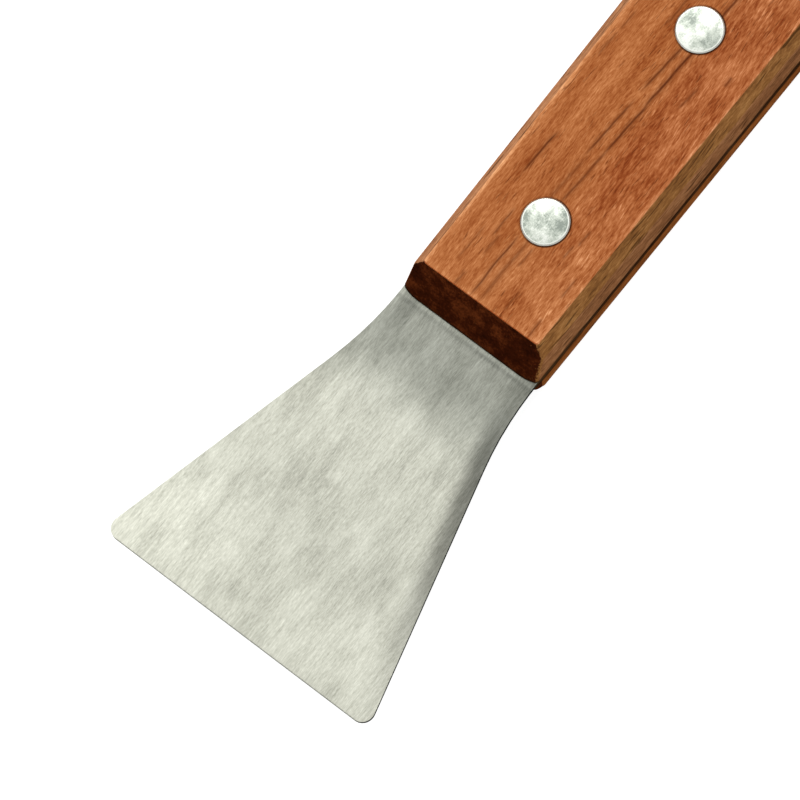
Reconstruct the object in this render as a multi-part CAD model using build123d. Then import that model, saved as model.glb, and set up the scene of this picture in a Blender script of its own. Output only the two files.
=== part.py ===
from build123d import *
import math
import os

# A riveted hive scraper: one flared steel blade with its tang, two wooden scales and three
# two-piece rivets. Millimetres. The scraping edge is at -X, the butt of the handle at +X and
# +Z is up through the thickness. The tool lies on its back rivet heads, at Z = 0, and the
# origin is below the middle of its length.

# Blade and tang, one sheet of steel
blade_length = 59.7  # from the front of the wood to the scraping edge
edge_width = 54.4  # across the scraping edge, before its corners are rounded
edge_corner_radius = 2.1
neck_width = 27.2  # also the width of the tang
neck_radius = 61.0  # hollow curve from the neck out to the straight flank
steel_thickness = 1.0
grind_start = 0.7  # in front of the wood
grind_step = 0.03  # taken off each face where the grinding starts
grind_run_out = 0.6
edge_thickness = 0.8  # the grinding thins the sheet to this at the scraping edge
edge_break = 0.12  # tiny bevel on both faces along the scraping edge
tang_end_gap = 1.2  # wood beyond the end of the tang
tang_corner_radius = 10.0

# Wooden scales
handle_length = 122.3
handle_front_width = 27.4  # at the seam beside the tang
handle_butt_width = 29.6
scale_thickness = 7.5
side_draft = 5.0  # degrees that the sides lean in towards the outer face
front_slope = 4.5  # the outer face starts this far behind the seam's front edge
front_corner_reach = 3.3  # how far in from each side the front scale's front edge curves back
front_corner_curve = 8.0
back_scale_land = 2.2  # the back scale's front is upright for this height, and then slopes
back_land_curve = 4.0
butt_corner_radius = 11.0
chamfer_across = 1.5
chamfer_down = 2.2
shoulder_radius = 1.6  # softens the lower edge of the chamfer
upright_edge_radius = 0.8  # down the corners of the front
edge_break_radius = 0.3
seam_edge_radius = 0.15

# Rivets and the holes that they sit in
rivet_count = 3
first_rivet = 21.3  # behind the front of the wood
rivet_spacing = 40.0
head_diameter = 8.0
head_thickness = 1.5
head_proud = 0.3
head_rim = 0.2  # chamfer round the head
front_crown = 0.15  # the front heads are hammered to a low dome
crown_flat_radius = 0.5  # level middle of the dome
sleeve_diameter = 5.0
sleeve_gap = 1.5  # between the sleeve's mouth and the underside of the post's head
post_diameter = 3.4
post_tip_gap = 0.6  # between the post's tip and the floor of the sleeve
post_tip_chamfer = 0.5
post_clearance = 0.02
wood_clearance = 0.05
tang_clearance = 0.2

# Hanging hole
hang_hole_diameter = 6.0
hang_hole_from_butt = 9.0
hang_hole_rim = 0.4

overall_length = blade_length + handle_length
edge_x = -overall_length / 2
butt_x = overall_length / 2
front_x = edge_x + blade_length
tang_bottom = head_proud + scale_thickness
tang_top = tang_bottom + steel_thickness
handle_top = tang_top + scale_thickness
waste_length = 2 * scale_thickness  # spare wood in front of a scale before its front is cut
rivet_xs = [front_x + first_rivet + i * rivet_spacing for i in range(rivet_count)]
hang_hole_x = butt_x - hang_hole_from_butt


def drill(body, x, diameter):
    """Cuts a round hole right through the thickness at a place along the tool."""
    return body - Pos(x, 0, 0) * Cylinder(diameter / 2, 4 * handle_top)


def blade_plan():
    """The blade and tang from above: straight flanks, hollow curves and a parallel tang."""
    rise = neck_radius - (edge_width - neck_width) / 2
    reach = math.hypot(blade_length, rise)
    flank_angle = math.atan2(blade_length, rise) - math.acos(neck_radius / reach)
    curve_start = (
        front_x - neck_radius * math.sin(flank_angle),
        neck_width / 2 + neck_radius * (1 - math.cos(flank_angle)),
    )
    corner = (edge_x, edge_width / 2)
    neck = (front_x, neck_width / 2)
    tang_end = (butt_x - tang_end_gap, neck_width / 2)

    flank = Line(corner, curve_start)
    curve = TangentArc(curve_start, neck, tangent=flank % 1)
    one_side = Curve() + [flank, curve, Line(neck, tang_end)]
    other_side = mirror(one_side, about=Plane.XZ)
    edge = Line(corner, (corner[0], -corner[1]))
    end = Line(tang_end, (tang_end[0], -tang_end[1]))
    plan = make_face(Curve() + [one_side, other_side, edge, end])

    plan = fillet(plan.vertices().group_by(Axis.X)[0], edge_corner_radius)
    return fillet(plan.vertices().group_by(Axis.X)[-1], tang_corner_radius)


def blade():
    """Sheet steel, ground thinner from just in front of the wood to the scraping edge."""
    half = steel_thickness / 2
    upper = [
        (butt_x, half),
        (front_x - grind_start, half),
        (front_x - grind_start - grind_run_out, half - grind_step),
        (edge_x + edge_break, edge_thickness / 2),
        (edge_x, edge_thickness / 2 - edge_break),
    ]
    lower = [(x, -z) for x, z in reversed(upper)]
    section = Plane.XZ * make_face(Polyline(*upper, *lower, close=True))
    wedge = Pos(0, 0, tang_bottom + half) * extrude(section, edge_width, both=True)
    body = Pos(0, 0, tang_bottom) * extrude(blade_plan(), steel_thickness) & wedge
    for x in rivet_xs:
        body = drill(body, x, sleeve_diameter + 2 * tang_clearance)
    return drill(body, hang_hole_x, hang_hole_diameter)


def sloping_waste():
    """Wood in front of the front scale, whose cut slopes up and curves back at both sides."""
    flat = handle_front_width / 2 - front_corner_reach
    ahead = front_x - 2 * waste_length
    turn = math.asin(2 * front_corner_reach / front_corner_curve)
    centre = (front_x + front_corner_curve, flat)
    end_arc = CenterArc(centre, front_corner_curve, 180 - math.degrees(turn), math.degrees(turn))
    end = end_arc @ 0
    one_side = Curve() + [end_arc, Line(end, (ahead, end.Y))]
    other_side = mirror(one_side, about=Plane.XZ)
    foot = Line((front_x, flat), (front_x, -flat))
    back = Line((ahead, end.Y), (ahead, -end.Y))
    plan = make_face(Curve() + [one_side, other_side, foot, back])
    run = math.hypot(front_slope, scale_thickness)
    return extrude(plan, run, dir=(front_slope, 0, scale_thickness))


def landed_waste():
    """Wood in front of the back scale: its face is upright beside the tang and then slopes."""
    ahead = front_x - 2 * waste_length
    run = front_slope * (1 - back_scale_land / scale_thickness)
    corners = [
        (ahead, 0),
        (front_x, 0),
        (front_x, back_scale_land),
        (front_x + run, scale_thickness),
        (ahead, scale_thickness),
    ]
    profile = make_face(Polyline(*corners, close=True))
    bend = profile.vertices().sort_by_distance((front_x, back_scale_land))[0]
    profile = fillet(bend, back_land_curve)
    return extrude(Plane.XZ * profile, handle_butt_width, both=True)


def level_edges(body, z):
    """The edges that lie at one height."""
    near = 0.02
    return body.edges().filter_by_position(Axis.Z, z - near, z + near).filter_by(
        lambda edge: edge.bounding_box().size.Z < near
    )


def scale_block():
    """The scale before its front is cut, its seam face at Z = 0 and its outer face up."""
    widening = (handle_butt_width - handle_front_width) / 2 / handle_length
    ahead = handle_front_width / 2 - widening * waste_length
    butt = handle_butt_width / 2
    ahead_x = front_x - waste_length
    corners = [(ahead_x, -ahead), (butt_x, -butt), (butt_x, butt), (ahead_x, ahead)]
    plan = make_face(Polyline(*corners, close=True))
    plan = fillet(plan.vertices().group_by(Axis.X)[-1], butt_corner_radius)
    body = extrude(plan, scale_thickness, taper=side_draft)

    # The chamfer runs along both sides and round the butt.
    top = body.faces().sort_by(Axis.Z)[-1]
    rim = top.edges().sort_by(Axis.X)[1:]
    body = chamfer(rim, chamfer_across, chamfer_down, reference=top)
    shoulder_z = scale_thickness - chamfer_down * math.cos(math.radians(side_draft))
    shoulder = level_edges(body, shoulder_z).sort_by(Axis.X)[1:]
    return fillet(shoulder, shoulder_radius)


def scale(waste):
    """One wooden scale, eased and drilled, its seam face at Z = 0 and its outer face up."""
    body = scale_block() - waste
    front_end = front_x + front_slope + edge_break_radius
    side = handle_front_width / 2 - front_corner_reach / 2
    least_height = 0.1

    def upright(edge):
        box = edge.bounding_box()
        return box.max.X < front_end and box.size.Z > least_height and abs(edge.center().Y) > side

    body = fillet(body.edges().filter_by(upright), upright_edge_radius)
    body = fillet(level_edges(body, scale_thickness), edge_break_radius)
    body = fillet(level_edges(body, 0), seam_edge_radius)

    sink = head_thickness - head_proud
    for x in rivet_xs:
        body = drill(body, x, sleeve_diameter + 2 * wood_clearance)
        seat = Cylinder(head_diameter / 2 + wood_clearance, 2 * sink)
        body -= Pos(x, 0, scale_thickness) * seat
    body = drill(body, hang_hole_x, hang_hole_diameter)
    hole = hang_hole_diameter / 2
    rim = Cone(hole, hole + hang_hole_rim, hang_hole_rim)
    return body - Pos(hang_hole_x, 0, scale_thickness - hang_hole_rim / 2) * rim


def rivet_post():
    """Front half of a rivet on the Z axis: a domed head over a solid stem."""
    head = head_diameter / 2
    stem = post_diameter / 2 - post_clearance
    face = handle_top + head_proud
    tip = head_thickness + post_tip_gap
    crown_top = (crown_flat_radius, face + front_crown)
    crown_foot = (head - head_rim, face)
    outline = Polyline(
        crown_top,
        (0, face + front_crown),
        (0, tip),
        (stem - post_tip_chamfer, tip),
        (stem, tip + post_tip_chamfer),
        (stem, face - head_thickness),
        (head, face - head_thickness),
        (head, face - head_rim),
        crown_foot,
    )
    dome = TangentArc(crown_top, crown_foot, tangent=(1, 0))
    return revolve(Plane.XZ * make_face(Curve() + [outline, dome]), Axis.Z)


def rivet_sleeve():
    """Back half of a rivet on the Z axis: a flat head under a tube that takes the post."""
    head = head_diameter / 2
    outer = sleeve_diameter / 2
    inner = post_diameter / 2
    mouth = handle_top + head_proud - head_thickness - sleeve_gap
    outline = Polyline(
        (0, 0),
        (head - head_rim, 0),
        (head, head_rim),
        (head, head_thickness),
        (outer, head_thickness),
        (outer, mouth),
        (inner, mouth),
        (inner, head_thickness),
        (0, head_thickness),
        close=True,
    )
    return revolve(Plane.XZ * make_face(outline), Axis.Z)


def save(node, shape):
    """Writes one sub-part to its own file."""
    export_step(shape, f"parts/{node}.step")


os.makedirs("parts", exist_ok=True)
save("blade", blade())
save("front_scale", Pos(0, 0, tang_top) * scale(sloping_waste()))
save("back_scale", Pos(0, 0, tang_bottom) * mirror(scale(landed_waste()), about=Plane.XY))
for number, x in enumerate(rivet_xs, start=1):
    save(f"rivet_{number}_post", Pos(x, 0, 0) * rivet_post())
    save(f"rivet_{number}_sleeve", Pos(x, 0, 0) * rivet_sleeve())
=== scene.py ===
import math

import bpy
from mathutils import Matrix, Vector


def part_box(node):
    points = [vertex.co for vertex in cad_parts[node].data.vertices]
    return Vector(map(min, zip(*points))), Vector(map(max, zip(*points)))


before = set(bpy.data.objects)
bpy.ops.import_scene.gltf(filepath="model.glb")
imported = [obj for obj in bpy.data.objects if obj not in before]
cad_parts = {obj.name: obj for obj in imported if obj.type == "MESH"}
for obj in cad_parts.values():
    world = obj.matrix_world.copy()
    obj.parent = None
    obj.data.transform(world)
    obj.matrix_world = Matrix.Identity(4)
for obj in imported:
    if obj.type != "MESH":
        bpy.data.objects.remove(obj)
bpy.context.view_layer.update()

# A riveted hive scraper lying on a pale floor. Lengths are in millimetres until they reach
# Blender, which works in metres. +X runs from the scraping edge to the butt.
MM = 0.001


def box_mm(node):
    low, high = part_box(node)
    return low / MM, high / MM


blade_low, blade_high = box_mm("blade")
scale_low, scale_high = box_mm("front_scale")
rivet_nodes = sorted(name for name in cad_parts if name.startswith("rivet_"))
rivet_xs = [sum(v.x for v in box_mm(name)) / 2 for name in rivet_nodes if name.endswith("_post")]
rivet_pitch = rivet_xs[1] - rivet_xs[0]

edge_x = blade_low.x
front_x = scale_low.x
butt_x = scale_high.x
seam_z = (blade_low.z + blade_high.z) / 2
head_low, head_high = box_mm(rivet_nodes[0])
head_radius = (head_high.x - head_low.x) / 2

# Plan of the blade
neck_half = 13.6
neck_curve_radius = 61.0
flank_angle = math.radians(14.6)
curve_length = neck_curve_radius * math.sin(flank_angle)

# Half widths of the handle's flat outer face, and where it starts behind the wood's front edge
face_half_front = 11.75
face_half_butt = scale_high.y - 1.95
face_start = front_x + 4.5

# Between the floor and the rivet heads that the tool lies on, so that the two don't coincide
floor_gap = 0.02

# Growth lines on the scales: start x, y, end x, y, half width, strength
FRONT_LINES = [
    (-28.0, 2.2, -13.0, 2.0, 0.28, 0.80),
    (-28.0, 0.5, -12.0, 0.1, 0.50, 0.50),
    (-8.0, 1.9, 3.0, 1.4, 0.50, 0.45),
    (-7.5, 0.1, 7.0, -0.7, 0.34, 0.70),
    (3.0, -0.4, 17.0, -1.1, 0.30, 0.90),
    (12.0, -0.8, 31.0, -1.6, 0.36, 0.95),
    (26.0, -1.3, 62.0, -2.4, 0.34, 0.85),
    (1.5, 1.9, 15.5, 1.1, 0.30, 0.80),
    (15.5, 1.2, 28.0, 0.3, 0.34, 0.80),
    (-6.5, 8.1, 4.0, 7.7, 0.28, 0.90),
    (-17.5, 5.5, -10.5, 5.3, 0.24, 0.65),
    (-20.5, 4.6, -15.5, 4.6, 0.30, 0.45),
    (-28.0, 5.3, -23.5, 5.3, 0.26, 0.55),
    (-24.0, 7.6, -15.5, 7.4, 0.24, 0.40),
    (16.5, 10.5, 22.0, 10.4, 0.24, 0.50),
    (22.0, 10.3, 27.0, 10.2, 0.24, 0.45),
    (27.0, 4.9, 35.0, 4.8, 0.30, 0.60),
    (-19.0, -1.1, -14.0, -1.2, 0.26, 0.50),
    (-26.0, -3.8, -21.0, -3.9, 0.26, 0.50),
    (-10.5, -6.6, -6.5, -6.9, 0.26, 0.60),
    (-13.5, -6.0, -10.0, -6.0, 0.26, 0.55),
    (-19.0, -9.7, -14.0, -9.8, 0.26, 0.55),
    (-27.0, -9.6, -22.5, -9.6, 0.28, 0.60),
    (17.0, -5.3, 22.5, -5.9, 0.30, 0.60),
    (24.5, -9.0, 27.0, -9.1, 0.34, 0.60),
    (45.0, 3.0, 75.0, 1.5, 0.32, 0.70),
    (52.0, -6.5, 80.0, -7.2, 0.28, 0.60),
    (66.0, -2.6, 90.0, -3.0, 0.30, 0.70),
]
BACK_LINES = [
    (-27.0, -3.0, 10.0, -2.0, 0.32, 0.70),
    (0.0, 4.0, 40.0, 5.5, 0.34, 0.65),
    (20.0, -0.5, 66.0, 1.0, 0.32, 0.75),
    (48.0, -7.0, 84.0, -6.0, 0.30, 0.60),
    (-20.0, 8.0, -9.0, 8.2, 0.26, 0.60),
]


def srgb(red, green, blue):
    """A display colour of 0 to 255 as a linear colour for a shader."""

    def linear(value):
        value /= 255
        return value / 12.92 if value <= 0.04045 else ((value + 0.055) / 1.055) ** 2.4

    return (linear(red), linear(green), linear(blue), 1.0)


class Graph:
    """Short calls that build the nodes of one material, with places in millimetres."""

    def __init__(self, name):
        self.material = bpy.data.materials.new(name)
        self.material.use_nodes = True
        self.tree = self.material.node_tree
        self.tree.nodes.clear()
        self.shader = self.node("ShaderNodeBsdfPrincipled")
        output = self.node("ShaderNodeOutputMaterial")
        self.put(output.inputs["Surface"], self.shader.outputs["BSDF"])
        metres = self.node("ShaderNodeTexCoord").outputs["Object"]
        self.place = self.vector("MULTIPLY", metres, (1 / MM, 1 / MM, 1 / MM))
        self.x, self.y, self.z = self.split(self.place)
        self.facing = self.split(self.node("ShaderNodeNewGeometry").outputs["Normal"])

    def node(self, kind):
        return self.tree.nodes.new(kind)

    def put(self, socket, value):
        if isinstance(value, bpy.types.NodeSocket):
            self.tree.links.new(value, socket)
        else:
            socket.default_value = value

    def split(self, vector):
        node = self.node("ShaderNodeSeparateXYZ")
        self.put(node.inputs[0], vector)
        return node.outputs

    def join(self, x, y, z):
        node = self.node("ShaderNodeCombineXYZ")
        for socket, value in zip(node.inputs, (x, y, z)):
            self.put(socket, value)
        return node.outputs[0]

    def math(self, operation, *values):
        node = self.node("ShaderNodeMath")
        node.operation = operation
        for socket, value in zip(node.inputs, values):
            self.put(socket, value)
        return node.outputs[0]

    def add(self, a, b):
        return self.math("ADD", a, b)

    def sub(self, a, b):
        return self.math("SUBTRACT", a, b)

    def mul(self, a, b):
        return self.math("MULTIPLY", a, b)

    def size(self, value):
        return self.math("ABSOLUTE", value)

    def vector(self, operation, a, b):
        node = self.node("ShaderNodeVectorMath")
        node.operation = operation
        self.put(node.inputs[0], a)
        self.put(node.inputs[1], b)
        return node.outputs["Vector"]

    def noise(self, per_mm, place=None, detail=2.0, roughness=0.5, seed=0.0):
        """Noise around 0.5 with its own count of features per millimetre along X, Y and Z."""
        node = self.node("ShaderNodeTexNoise")
        stretched = self.vector("MULTIPLY", place or self.place, per_mm)
        shift = (seed, 2.3 * seed, 3.7 * seed)
        self.put(node.inputs["Vector"], self.vector("ADD", stretched, shift))
        self.put(node.inputs["Scale"], 1.0)
        self.put(node.inputs["Detail"], detail)
        self.put(node.inputs["Roughness"], roughness)
        return node.outputs["Fac"]

    def blend(self, *layers):
        """The weighted sum of (weight, value) layers."""
        total = self.mul(layers[0][1], layers[0][0])
        for weight, value in layers[1:]:
            total = self.math("MULTIPLY_ADD", value, weight, total)
        return total

    def layers(self, *parts):
        """Like blend, for noises, and whatever their weights the result stays around 0.5."""
        rest = 0.5 * (1 - sum(weight for weight, value in parts))
        return self.add(self.blend(*parts), rest)

    def step(self, value, low, high, start=0.0, end=1.0):
        """start where value is low, end where it is high, and smooth between."""
        node = self.node("ShaderNodeMapRange")
        node.interpolation_type = "SMOOTHSTEP"
        for socket, number in zip(node.inputs, (value, low, high, start, end)):
            self.put(socket, number)
        return node.outputs["Result"]

    def ramp(self, value, *stops):
        node = self.node("ShaderNodeValToRGB")
        self.put(node.inputs[0], value)
        elements = node.color_ramp.elements
        while len(elements) < len(stops):
            elements.new(1.0)
        for element, (position, colour) in zip(elements, stops):
            element.position = position
            element.color = colour
        return node.outputs["Color"]

    def mix(self, factor, a, b):
        node = self.node("ShaderNodeMix")
        node.data_type = "RGBA"
        self.put(node.inputs[0], factor)
        self.put(node.inputs[6], a)
        self.put(node.inputs[7], b)
        return node.outputs[2]

    def tint(self, colour, amount):
        """Multiplies a colour by a grey amount or by another colour."""
        if isinstance(amount, bpy.types.NodeSocket) and amount.type == "VALUE":
            amount = self.join(amount, amount, amount)
        return self.vector("MULTIPLY", colour, amount)

    def finish(self, height, depth, **values):
        """Sets the relief, whose height of 1 stands for a depth in mm, and the shader's inputs."""
        bump = self.node("ShaderNodeBump")
        self.put(bump.inputs["Distance"], depth * MM)
        self.put(bump.inputs["Height"], height)
        self.put(self.shader.inputs["Normal"], bump.outputs[0])
        for name, value in values.items():
            self.put(self.shader.inputs[name.replace("_", " ")], value)
        return self.material


def long_lines(g, lines, wobble):
    """Growth lines, each a thin core inside a wider soft band, fading out at both ends."""
    core_share = 0.6
    total = None
    y = g.add(g.y, wobble)
    for start_x, start_y, end_x, end_y, half_width, strength in lines:
        slope = (end_y - start_y) / (end_x - start_x)
        middle = g.math("MULTIPLY_ADD", g.x, slope, start_y - slope * start_x)
        away = g.size(g.sub(y, middle))
        core = g.step(away, half_width, 0.0, 0.0, core_share * strength)
        band = g.step(away, 3 * half_width, 0.0, 0.0, (1 - core_share) * strength)
        taper = (end_x - start_x) / 4
        begins = g.step(g.x, start_x, start_x + taper)
        ends = g.step(g.x, end_x, end_x - taper)
        line = g.mul(g.add(core, band), g.mul(begins, ends))
        total = line if total is None else g.math("MAXIMUM", total, line)
    return total


def face_half_width(g):
    """Half the width of the handle's flat outer face at this place along it."""
    widening = (face_half_butt - face_half_front) / (butt_x - face_start)
    return g.math("MULTIPLY_ADD", g.x, widening, face_half_front - widening * face_start)


def from_rivet(g):
    """How far a place is along X from its nearest rivet, and from that rivet's axis."""
    first = rivet_xs[0]
    along = g.sub(g.math("WRAP", g.x, first - rivet_pitch / 2, first + rivet_pitch / 2), first)
    return along, g.math("SQRT", g.add(g.mul(along, along), g.mul(g.y, g.y)))


class Wood(Graph):
    """Reddish oiled hardwood with its grain along X."""

    def __init__(self, name, seed):
        super().__init__(name)
        self.seed = seed
        # The grain wanders sideways along the handle.
        sway = self.blend(
            (5.0, self.sub(self.speckle(0, (0.013, 0.05, 0.05)), 0.5)),
            (1.2, self.sub(self.speckle(1, (0.07, 0.2, 0.2)), 0.5)),
        )
        swayed_y = self.add(self.y, sway)
        self.grain = self.join(self.x, swayed_y, self.add(self.z, sway))
        # In the half at -Y the fibres cross at a slant, as interlocked grain does.
        self.slant = self.join(self.x, self.math("MULTIPLY_ADD", self.x, -0.13, self.y), self.z)
        self.crossing = self.step(swayed_y, 0.0, -4.0)
        self.fibres = self.speckle(4, (0.9, 5.5, 5.5), self.grain, detail=3, roughness=0.65)
        self.silk = self.speckle(5, (0.45, 2.2, 2.2), self.slant, detail=3, roughness=0.65)
        self.blotches = self.speckle(6, (0.12, 0.22, 0.22), detail=3, roughness=0.6)
        pores = self.step(self.speckle(8, (0.35, 4.5, 4.5), self.grain, detail=1), 0.62, 0.72)
        self.pores = self.mul(pores, self.step(self.blotches, 0.55, 0.45))
        self.tone = self.mixed_tone()

    def speckle(self, number, per_mm, place=None, **options):
        """One of this wood's own noises."""
        return self.noise(per_mm, place, seed=self.seed + number, **options)

    def mixed_tone(self):
        """How dark or pale the wood is, around 0.5: streaks at +Y, crossing fibres at -Y."""
        bands = self.speckle(2, (0.02, 0.45, 0.45), self.grain, detail=3)
        streaks = self.speckle(3, (0.16, 1.6, 1.6), self.grain, detail=3, roughness=0.6)
        straight = self.layers((0.18, bands), (0.17, streaks), (0.36, self.fibres), (0.06, self.blotches))
        crossed = self.layers(
            (0.12, bands), (0.28, self.silk), (0.34, self.fibres), (0.26, self.blotches), (0.12, streaks)
        )
        return self.math("MULTIPLY_ADD", self.sub(crossed, straight), self.crossing, straight)

    def paler(self):
        """What is added to the tone: edges paled by wear and painted highlight, most at +Y, a paler front
        and +Y side, and pale flecks.
        """
        inside = self.sub(face_half_width(self), self.size(self.y))
        patchy = self.step(self.speckle(9, (0.06, 0.5, 0.5)), 0.3, 0.6, 0.4, 1.0)
        # Pale edges, partly wear and partly painted highlight, made stronger at +Y where the key light
        # falls
        wear_and_highlight = self.mul(self.step(inside, 0.9, 0.2), patchy)
        wear_and_highlight = self.mul(wear_and_highlight, self.step(self.y, -8.0, 8.0, 1.0, 1.6))
        foot = self.step(self.x, face_start + 22.0, face_start + 4.0)
        lip = self.step(self.x, face_start + 1.2, face_start + 0.2)
        faded = self.step(self.y, 0.0, 12.0)
        flecks = self.step(self.speckle(12, (0.4, 3.6, 3.6), self.slant, detail=1), 0.58, 0.72)
        flecks = self.mul(flecks, self.step(self.speckle(14, (0.12, 0.3, 0.3)), 0.40, 0.60))
        flecks = self.mul(flecks, self.add(self.mul(self.crossing, 0.75), 0.25))
        return self.blend((0.075, wear_and_highlight), (0.022, foot), (0.03, lip), (0.018, faded), (0.085, flecks))

    def face(self, lines, on_rim):
        """The flat outer face, with growth lines, short pores, and painted shade with a little dirt round
        the rivet heads.
        """
        face = self.ramp(
            self.add(self.tone, self.paler()),
            (0.32, srgb(92, 35, 15)),
            (0.42, srgb(119, 58, 25)),
            (0.50, srgb(144, 83, 44)),
            (0.58, srgb(168, 107, 65)),
            (0.68, srgb(202, 144, 100)),
            (0.80, srgb(240, 190, 142)),
        )
        redder = self.mul(self.crossing, self.step(self.x, -20.0, 10.0, 0.2, 0.6))
        face = self.mix(redder, face, self.tint(face, (1.0, 0.94, 1.06)))

        wobble = self.mul(self.sub(self.speckle(7, (0.25, 0.1, 0.1)), 0.5), 0.5)
        growth = self.mul(long_lines(self, lines, wobble), self.step(self.fibres, 0.30, 0.52, 0.72, 1.0))
        marks = self.math("MAXIMUM", growth, self.mul(self.pores, 0.5))
        face = self.mix(marks, face, srgb(70, 27, 10))
        face = self.mix(self.mul(on_rim, 0.8), face, srgb(128, 46, 14))

        radius = from_rivet(self)[1]
        # Painted shade with a little dirt in the gap round each rivet head, heaviest on the -Y side away
        # from the key light
        gap = self.step(self.size(self.sub(radius, head_radius + 0.1)), 0.28, 0.08)
        rim_shade_and_dirt = self.mul(gap, self.step(self.y, 3.0, -1.0, 0.3, 0.85))
        return self.mix(rim_shade_and_dirt, face, srgb(44, 18, 7))

    def sides(self, side_tint):
        """Browner sides with short dark lines, partly their own grain and partly painted shade, under a
        chamfer painted lighter at +Y.
        """
        chamfer = self.ramp(
            self.tone, (0.36, srgb(86, 54, 29)), (0.50, srgb(122, 81, 43)), (0.64, srgb(156, 112, 66))
        )
        # Painted light on the chamfer at +Y, the side that faces the key light
        at_plus_y = self.step(self.facing[1], 0.1, 0.5)
        chamfer = self.mix(at_plus_y, chamfer, self.tint(chamfer, (1.50, 1.52, 2.30)))
        side = self.ramp(
            self.tone, (0.36, srgb(84, 52, 30)), (0.50, srgb(120, 79, 49)), (0.64, srgb(154, 110, 74))
        )
        below_chamfer = self.step(self.size(self.facing[2]), 0.36, 0.22)
        side = self.mix(below_chamfer, chamfer, self.tint(side, side_tint))
        nicks = self.step(self.speckle(10, (0.16, 2.6, 2.6), self.grain, detail=2), 0.56, 0.66)
        return self.mix(self.mul(nicks, 0.7), side, srgb(44, 24, 10))

    def ends(self):
        """End grain, which drinks up the oil, with painted shade on top, darkest towards the sides."""
        stain = self.speckle(11, (0.35, 0.3, 0.45), detail=4, roughness=0.65)
        specks = self.speckle(13, (2.5, 2.5, 2.5), detail=2)
        drunk = self.blend((0.7, stain), (0.3, specks), (-0.004, self.size(self.y)))
        return self.ramp(drunk, (0.28, srgb(26, 8, 3)), (0.46, srgb(50, 18, 6)), (0.64, srgb(86, 40, 16)))

    def end_tilt(self):
        """How squarely a place faces along X, raised where the dark ends reach round a corner and where
        painted shadow lies under the blade.
        """
        ragged = self.mul(self.sub(self.speckle(0, (3.0, 2.5, 2.5), detail=1), 0.5), 0.3)
        at_plus_y = self.step(self.facing[1], 0.1, 0.6, 1.0, 1.5)
        back = self.step(self.z, seam_z + 0.5, seam_z - 0.5)
        # The back scale's front, under the blade, takes the dark of the ends as painted shadow
        back_front = self.mul(back, self.step(self.x, front_x + 2.6, front_x + 1.2))
        return self.math("MULTIPLY_ADD", self.size(self.facing[0]), at_plus_y, self.add(ragged, back_front))


def wood(name, seed, lines, side_tint):
    """One scale's wood: outer face, browner sides and nearly black ends, both partly painted shade, and a
    dark joint with painted shade in its gap.
    """
    g = Wood(name, seed)
    tilt = g.end_tilt()
    on_end = g.step(tilt, 0.68, 0.80)
    on_rim = g.step(tilt, 0.15, 0.50)
    on_side = g.step(g.size(g.facing[2]), 0.86, 0.66)
    # The dark joint at the seam, with painted shade for the gap between the scales and the tang
    joint = g.step(g.size(g.sub(g.z, seam_z)), 1.2, 0.6)

    colour = g.mix(on_side, g.face(lines, on_rim), g.sides(side_tint))
    colour = g.mix(on_end, colour, g.ends())
    colour = g.mix(g.mul(joint, 0.9), colour, srgb(30, 19, 8))
    return g.finish(
        height=g.blend((0.5, g.fibres), (0.5, g.silk), (-0.6, g.pores)),
        depth=0.05,
        Base_Color=colour,
        Roughness=g.step(g.tone, 0.35, 0.65, 0.62, 0.48),
        Specular_IOR_Level=0.0,
    )


def flank_distance(g):
    """How far in a place is from the blade's flanks, the one at -Y and then the one at +Y."""
    ahead = g.math("MAXIMUM", g.sub(front_x, g.x), 0.0)
    curved = g.math("MINIMUM", ahead, curve_length)
    square = g.sub(neck_curve_radius**2, g.mul(curved, curved))
    hollow = g.sub(neck_curve_radius, g.math("SQRT", square))
    straight = g.mul(g.sub(ahead, curved), math.tan(flank_angle))
    half = g.add(g.add(hollow, straight), neck_half)
    return g.add(g.y, half), g.sub(half, g.y)


def flank_shade(g, ahead):
    """Painted shade along the flank at -Y, least of all near the tip, and a painted highlight on the tip,
    most at +Y.
    """
    from_minus_y, from_plus_y = flank_distance(g)
    at_flank = g.add(g.step(ahead, 20.0, 60.0, 0.36, 0.95), g.step(ahead, 17.0, 0.0, 0.0, 0.42))
    # Painted shade along the -Y flank
    inward = g.step(from_minus_y, 0.7, 4.4)
    flank_darkening = g.math("MULTIPLY_ADD", g.sub(1.0, at_flank), inward, at_flank)
    glow = g.mul(g.step(g.y, 2.0, 25.0), g.step(ahead, 25.0, 58.0))
    sheen = g.math("MULTIPLY_ADD", glow, 0.18, 1.0)
    # Painted shade in a patch beside the +Y flank, close to the wood
    corner_shade = g.mul(g.step(g.size(g.sub(from_plus_y, 2.6)), 2.2, 0.6), g.step(ahead, 9.0, 2.0, 0.0, 0.26))
    tip = g.step(ahead, 38.0, 54.0, 1.0, 1.09)
    return g.mul(flank_darkening, g.mul(g.sub(sheen, corner_shade), tip))


def neck_marks(g, ahead, lines):
    """A pale strip that the grinding missed against the wood, and where it begins a smudge of stain with
    painted shade, heavier at -Y.
    """
    smudge_and_shade_ahead = 1.0
    begin = g.add(g.sub(ahead, smudge_and_shade_ahead), g.mul(g.sub(lines, 0.5), 0.8))
    # Stain and painted shadow along the start of the grind, heavier at -Y
    smudge_and_shade = g.mul(g.step(g.size(begin), 0.45, 0.05), g.step(g.y, 10.0, -9.0, 0.06, 0.24))
    smudge_and_shade = g.mul(smudge_and_shade, g.step(g.noise((0.1, 0.45, 0.45), seed=12.0), 0.35, 0.60, 0.2, 1.0))
    strip = g.step(ahead, 0.75, 0.45, 1.0, 1.16)
    return g.mul(strip, g.sub(1.0, smudge_and_shade))


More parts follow.
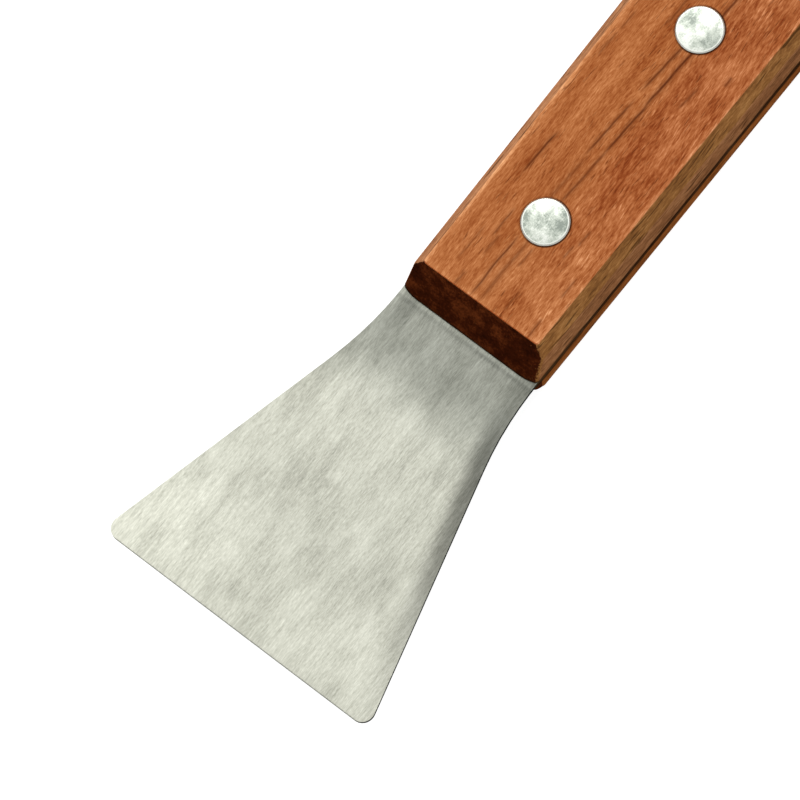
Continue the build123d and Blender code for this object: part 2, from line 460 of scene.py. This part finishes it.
def steel():
    """Stainless sheet, brushed along the tool and cloudy, with painted shade greying the neck and
    blackening the edges.
    """
    g = Graph("brushed steel")
    lines = g.noise((0.28, 2.6, 2.6), detail=4, roughness=0.65, seed=1.0)
    hairs = g.noise((1.4, 9.0, 9.0), detail=2, seed=5.0)
    clouds = g.noise((0.10, 0.17, 0.17), detail=3, roughness=0.6, seed=9.0)
    tone = g.layers((0.34, lines), (0.34, hairs), (0.30, clouds))
    colour = g.ramp(
        tone,
        (0.34, (0.225, 0.227, 0.190, 1)),
        (0.50, (0.375, 0.378, 0.322, 1)),
        (0.66, (0.530, 0.535, 0.465, 1)),
    )
    ahead = g.sub(front_x, g.x)
    # Painted shade and a painted reflection of the handle grey the blade towards the neck
    neck_place = g.add(ahead, g.mul(g.sub(clouds, 0.5), 8.0))
    neck = g.step(neck_place, 7.0, 22.0, 0.55, 1.0)
    cold = g.step(neck_place, 7.0, 21.0, 1.0, 0.0)
    colour = g.mix(cold, colour, g.tint(colour, (0.98, 1.0, 1.0)))
    shade = g.mul(g.mul(neck, flank_shade(g, ahead)), neck_marks(g, ahead, lines))
    colour = g.tint(colour, shade)

    # The sheared edges are painted nearly black as a painted reflection of dark surroundings, and browner
    # where the tang shows between the scales.
    on_edge = g.step(g.size(g.facing[2]), 0.6, 0.4)
    edge_colour = g.mix(g.step(ahead, 0.5, -1.0), srgb(30, 31, 28), srgb(50, 36, 20))
    gloss = g.step(tone, 0.35, 0.65, 0.50, 0.38)
    return g.finish(
        height=tone,
        depth=0.02,
        Base_Color=g.mix(on_edge, colour, edge_colour),
        Metallic=g.sub(1.0, on_edge),
        Roughness=g.math("MULTIPLY_ADD", on_edge, 0.4, gloss),
        Specular_IOR_Level=0.0,
    )


def rivet_metal():
    """Aluminium heads ground by hand: cloudy and scratched, with a painted sheen and a painted highlight on
    the rim.
    """
    g = Graph("ground aluminium")
    along, radius = from_rivet(g)
    centre = g.sub(g.x, along)
    angle = g.math("ARCTAN2", g.y, along)
    clouds = g.noise((0.45, 0.45, 0.45), detail=4, roughness=0.65, seed=2.0)
    scratches = g.noise((1.0, 9.0, 9.0), detail=2, seed=4.0)
    grain = g.noise((4.0, 4.0, 4.0), detail=2, seed=6.0)
    # Each head was turned differently under the grinder, so its sheen points another way.
    turn = g.math("MULTIPLY_ADD", g.sub(centre, rivet_xs[0]), 0.04, -1.33)
    bow = g.math("COSINE", g.math("MULTIPLY_ADD", angle, 2.0, turn))
    sheen = g.mul(bow, g.step(radius, 0.4, 3.2, 0.0, 0.075))
    # Each head is a little brighter than the one in front of it.
    brighter = g.math("MULTIPLY_ADD", g.sub(centre, rivet_xs[0]), 0.001, -0.02)
    tone = g.add(g.blend((0.62, clouds), (0.16, scratches), (0.22, grain)), g.add(sheen, brighter))
    colour = g.ramp(
        tone,
        (0.38, (0.20, 0.225, 0.195, 1)),
        (0.50, (0.40, 0.43, 0.375, 1)),
        (0.62, (0.62, 0.64, 0.585, 1)),
    )
    # A painted highlight on the rim, where the chamfer catches the light
    rim_glint = g.step(radius, head_radius - 0.42, head_radius - 0.30)
    colour = g.mix(g.mul(rim_glint, 0.85), colour, (0.60, 0.62, 0.57, 1))
    return g.finish(
        height=tone,
        depth=0.05,
        Base_Color=colour,
        Metallic=1.0,
        Roughness=g.step(tone, 0.35, 0.65, 0.50, 0.34),
    )


def dress(node, material):
    """Gives a part its material."""
    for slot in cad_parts[node].material_slots:
        slot.material = material


def add_floor():
    """A large pale light table under the tool, which all but drowns its shadow."""
    half = 3.0  # metres
    level = -floor_gap * MM
    mesh = bpy.data.meshes.new("floor")
    corners = [(x, y, level) for x, y in ((-half, -half), (half, -half), (half, half), (-half, half))]
    mesh.from_pydata(corners, [], [(0, 1, 2, 3)])
    floor = bpy.data.objects.new("floor", mesh)
    bpy.context.scene.collection.objects.link(floor)
    g = Graph("pale floor")
    speckle = g.noise((0.02, 0.02, 0.02))
    colour = g.ramp(speckle, (0.3, (0.28, 0.28, 0.28, 1)), (0.7, (0.32, 0.32, 0.32, 1)))
    white = (1.0, 1.0, 1.0, 1.0)
    glow = {"Emission_Color": white, "Emission_Strength": 0.84}
    mesh.materials.append(g.finish(speckle, depth=0.01, Base_Color=colour, Roughness=0.9, **glow))


def add_light(name, place, size, power):
    """A soft square light that faces the tool."""
    data = bpy.data.lights.new(name, "AREA")
    data.shape = "SQUARE"
    data.size = size
    data.energy = power
    light = bpy.data.objects.new(name, data)
    light.location = place
    light.rotation_euler = (-Vector(place)).to_track_quat("-Z", "Y").to_euler()
    bpy.context.scene.collection.objects.link(light)


def add_studio():
    """Pale surroundings, brighter overhead, and a large soft key light beyond the handle."""
    world = bpy.data.worlds.new("studio")
    world.use_nodes = True
    tree = world.node_tree
    direction = tree.nodes.new("ShaderNodeTexCoord").outputs["Generated"]
    split = tree.nodes.new("ShaderNodeSeparateXYZ")
    rise = tree.nodes.new("ShaderNodeMapRange")
    tree.links.new(direction, split.inputs[0])
    tree.links.new(split.outputs["Z"], rise.inputs["Value"])
    rise.inputs["To Min"].default_value = 0.80
    rise.inputs["To Max"].default_value = 1.25
    background = tree.nodes["Background"]
    background.inputs["Color"].default_value = (1.0, 1.0, 1.0, 1.0)
    tree.links.new(rise.outputs["Result"], background.inputs["Strength"])
    bpy.context.scene.world = world
    add_light("key", (0.60, 0.65, 0.85), 0.7, 10.0)
    bpy.context.scene.view_settings.view_transform = "Standard"


def add_camera():
    """A long lens looking steeply down on the blade, rolled so the handle leaves top right."""
    azimuth = math.radians(-30.23)
    tilt = math.radians(90 - 73.13)
    roll = math.radians(-22.05)
    distance = 1.2
    target = Vector((edge_x + 45.3, 2.39, seam_z)) * MM
    data = bpy.data.cameras.new("camera")
    data.sensor_width = 36.0
    data.lens = 338.8
    data.clip_end = 20.0
    camera = bpy.data.objects.new("camera", data)
    turn = Matrix.Rotation(azimuth, 4, "Z") @ Matrix.Rotation(tilt, 4, "X") @ Matrix.Rotation(roll, 4, "Z")
    camera.matrix_world = Matrix.Translation(target) @ turn @ Matrix.Translation((0, 0, distance))
    bpy.context.scene.collection.objects.link(camera)
    bpy.context.scene.camera = camera


# What the colour of a scale's sides is multiplied by: the back scale is from a redder board.
PLAIN_SIDES = (1.0, 1.0, 1.0)
REDDER_SIDES = (0.84, 0.62, 0.36)

add_camera()
add_studio()
add_floor()
dress("blade", steel())
dress("front_scale", wood("front hardwood", 4.0, FRONT_LINES, PLAIN_SIDES))
dress("back_scale", wood("back hardwood", 34.0, BACK_LINES, REDDER_SIDES))
rivets = rivet_metal()
for node in rivet_nodes:
    dress(node, rivets)
